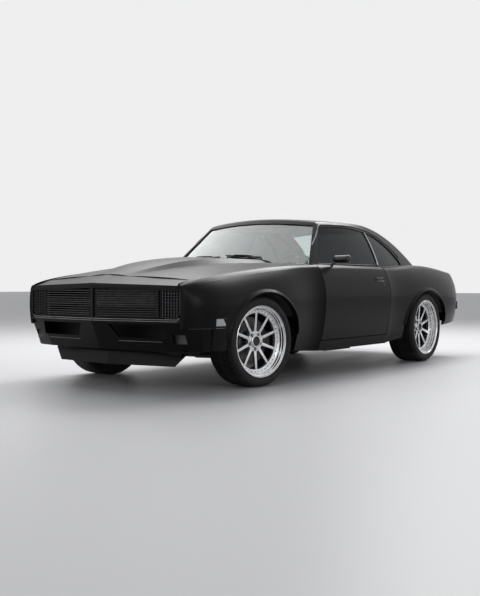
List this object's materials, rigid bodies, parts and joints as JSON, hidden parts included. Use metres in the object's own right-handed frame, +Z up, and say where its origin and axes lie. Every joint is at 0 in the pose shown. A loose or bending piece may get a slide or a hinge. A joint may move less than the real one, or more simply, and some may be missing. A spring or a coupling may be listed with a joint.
{
  "type": "two-door muscle car",
  "caption": "Two-door fastback muscle car coupe with opening doors, hood and deck lid, steered front wheels and free-rolling wheels.",
  "frame": {"origin": "on the ground under the middle of the car", "axes": "+X to the car's left side, -Y towards the nose, +Z up"},
  "size_m": [1.8922, 4.652, 1.3379],
  "materials": {
    "body_paint": "satin black",
    "dark_trim": "matte",
    "floor_paint": "matte",
    "chassis": "satin",
    "glass_clear": "clear",
    "glass_tint": "tinted",
    "lamp_lens": "ribbed clear",
    "tail_lens": "gloss",
    "wheel_alloy": "brushed and polished",
    "tyre_rubber": "matte",
    "cast_metal": "machined",
    "steel": "brushed",
    "upholstery": "satin",
    "interior_plastic": "grained"
  },
  "bodies": {
    "body": {"fenders": "body_paint", "rockers": "body_paint", "quarters": "body_paint", "header_panel": "body_paint", "front_valance": "body_paint", "front_splitter": "body_paint", "roof": "body_paint", "rear_shelf": "body_paint", "tail_panel": "body_paint", "rear_bumper": "body_paint", "cowl_panel": "body_paint", "grille": "dark_trim", "headlamp_covers": "dark_trim", "wipers": "dark_trim", "inner_fenders": "dark_trim", "floor_pan": "floor_paint", "front_subframe": "chassis", "rear_axle": "chassis", "fuel_tank": "chassis", "driveline": "chassis", "radiator": "chassis", "windshield": "glass_clear", "rear_window": "glass_clear", "quarter_glass": "glass_tint", "parking_lamps": "lamp_lens", "side_markers": "lamp_lens", "tail_lamps": "tail_lens", "engine_block": "cast_metal", "exhaust": "steel", "front_seats": "upholstery", "rear_seat": "upholstery", "dashboard": "interior_plastic", "steering_wheel": "interior_plastic"},
    "hood": {"hood": "body_paint"},
    "deck_lid": {"deck_lid": "body_paint"},
    "door_left": {"door_left": "body_paint", "door_glass_left": "glass_tint", "mirror_left": "body_paint"},
    "door_right": {"door_right": "body_paint", "door_glass_right": "glass_tint"},
    "knuckle_left": {"knuckle_left": "cast_metal"},
    "knuckle_right": {"knuckle_right": "cast_metal"},
    "wheel_front_left": {"wheel_front_left": "wheel_alloy", "tyre_front_left": "tyre_rubber"},
    "wheel_front_right": {"wheel_front_right": "wheel_alloy", "tyre_front_right": "tyre_rubber"},
    "wheel_rear_left": {"wheel_rear_left": "wheel_alloy", "tyre_rear_left": "tyre_rubber"},
    "wheel_rear_right": {"wheel_rear_right": "wheel_alloy", "tyre_rear_right": "tyre_rubber"}
  },
  "joints": [
    {"name": "hood_hinge", "type": "hinge", "parent": "body", "child": "hood", "pos_m": [0, -0.65, 0.96], "axis": [-1, 0, 0], "range_deg": [0, 50]},
    {"name": "deck_lid_hinge", "type": "hinge", "parent": "body", "child": "deck_lid", "pos_m": [0, 1.564, 0.935], "axis": [1, 0, 0], "range_deg": [0, 65]},
    {"name": "door_left_hinge", "type": "hinge", "parent": "body", "child": "door_left", "pos_m": [0.888, -0.571, 0.6], "axis": [0, 0, -1], "range_deg": [0, 65]},
    {"name": "door_right_hinge", "type": "hinge", "parent": "body", "child": "door_right", "pos_m": [-0.888, -0.571, 0.6], "axis": [0, 0, 1], "range_deg": [0, 65]},
    {"name": "steer_left", "type": "hinge", "parent": "body", "child": "knuckle_left", "pos_m": [0.655, -1.435, 0.33], "axis": [0, 0, 1], "range_deg": [-21.65, 38.35]},
    {"name": "steer_right", "type": "hinge", "parent": "body", "child": "knuckle_right", "pos_m": [-0.655, -1.435, 0.33], "axis": [0, 0, 1], "range_deg": [-21.65, 38.35]},
    {"name": "spin_front_left", "type": "hinge", "parent": "knuckle_left", "child": "wheel_front_left", "pos_m": [0.75592, -1.44981, 0.33], "axis": [0.9894, -0.1452, 0], "continuous": true},
    {"name": "spin_front_right", "type": "hinge", "parent": "knuckle_right", "child": "wheel_front_right", "pos_m": [-0.75592, -1.42019, 0.33], "axis": [0.9894, -0.1452, 0], "continuous": true},
    {"name": "spin_rear_left", "type": "hinge", "parent": "body", "child": "wheel_rear_left", "pos_m": [0.757, 1.311, 0.33], "axis": [1, 0, 0], "continuous": true},
    {"name": "spin_rear_right", "type": "hinge", "parent": "body", "child": "wheel_rear_right", "pos_m": [-0.757, 1.311, 0.33], "axis": [1, 0, 0], "continuous": true}
  ],
  "couplings": [
    {"joint": "steer_right", "follows": "steer_left", "ratio": 1}
  ]
}
